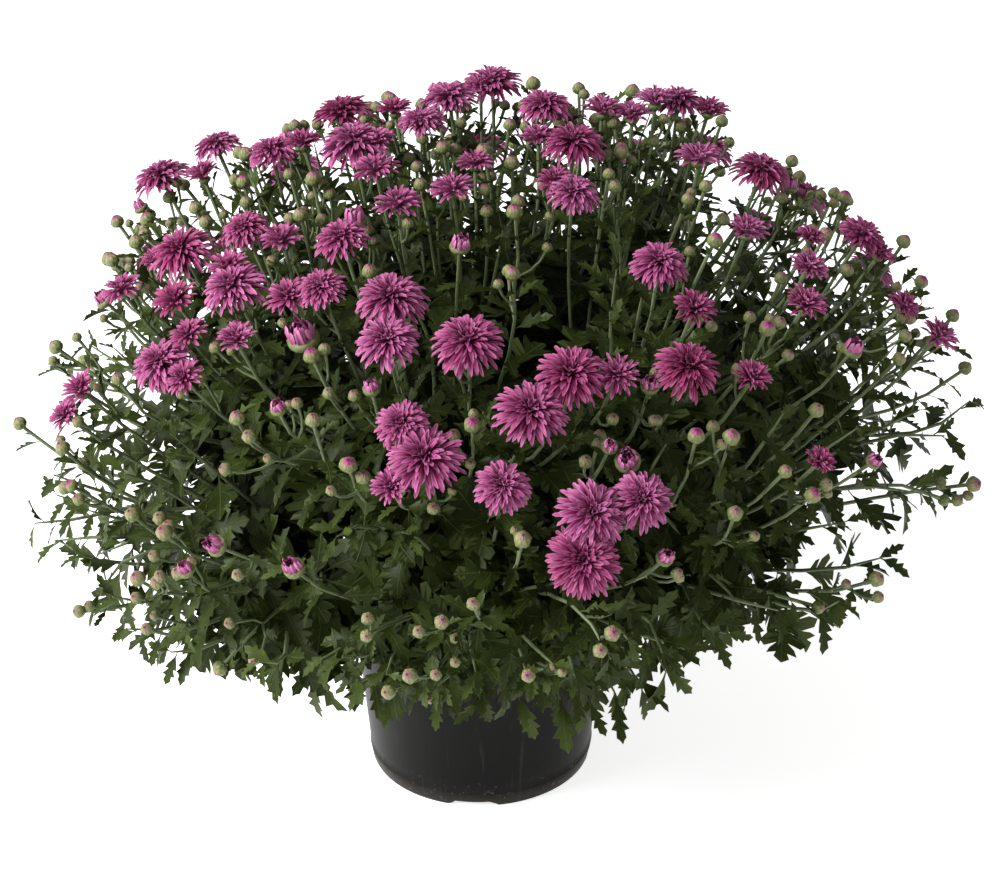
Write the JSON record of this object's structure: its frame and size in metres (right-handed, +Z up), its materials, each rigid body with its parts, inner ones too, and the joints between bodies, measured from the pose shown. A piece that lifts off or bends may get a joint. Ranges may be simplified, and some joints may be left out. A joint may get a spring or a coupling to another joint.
{
  "type": "potted chrysanthemum",
  "caption": "Potted chrysanthemum: a round black nursery pot of soil, leafy stems fanning out into a wide dome of magenta double blooms and buds.",
  "frame": {"origin": "centre of the pot's flat underside, where the pot rests", "axes": "+Z up along the pot's axis, +X to the right and -Y toward the viewer as the picture shows the plant"},
  "size_m": [0.6057, 0.5922, 0.4519],
  "materials": {
    "pot_plastic": "black moulded plastic, dusty and scuffed, with a soft sheen",
    "soil": null,
    "foliage": "matte dark green lobed leaves on paler grey-green stems",
    "petals": "soft matte magenta petals, paler at their edges and backs"
  },
  "bodies": {
    "root": {"pot": "pot_plastic", "soil": "soil", "leafy_stem_01": "foliage", "leafy_stem_02": "foliage", "leafy_stem_03": "foliage", "leafy_stem_04": "foliage", "leafy_stem_05": "foliage", "leafy_stem_06": "foliage", "leafy_stem_07": "foliage", "leafy_stem_08": "foliage", "leafy_stem_09": "foliage", "leafy_stem_10": "foliage", "leafy_stem_11": "foliage", "leafy_stem_12": "foliage", "leafy_stem_13": "foliage", "bloom_01": "petals", "bloom_02": "petals", "bloom_03": "petals", "bloom_04": "petals", "bloom_05": "petals", "bloom_06": "petals", "bloom_07": "petals", "bloom_08": "petals", "bloom_09": "petals", "bloom_10": "petals", "bloom_11": "petals", "bloom_12": "petals", "bloom_13": "petals", "bloom_14": "petals", "bloom_15": "petals", "bloom_16": "petals", "bloom_17": "petals", "bloom_18": "petals", "bloom_19": "petals", "bloom_20": "petals", "bloom_21": "petals", "bloom_22": "petals", "bloom_23": "petals", "bloom_24": "petals", "bloom_25": "petals", "bloom_26": "petals", "bloom_27": "petals", "bloom_28": "petals", "bloom_29": "petals", "bloom_30": "petals", "bloom_31": "petals", "bloom_32": "petals", "bloom_33": "petals", "bloom_34": "petals", "bloom_35": "petals", "bloom_36": "petals", "bloom_37": "petals", "bloom_38": "petals", "bloom_39": "petals", "bloom_40": "petals", "bloom_41": "petals", "bloom_42": "petals", "bloom_43": "petals", "bloom_44": "petals"}
  },
  "joints": []
}
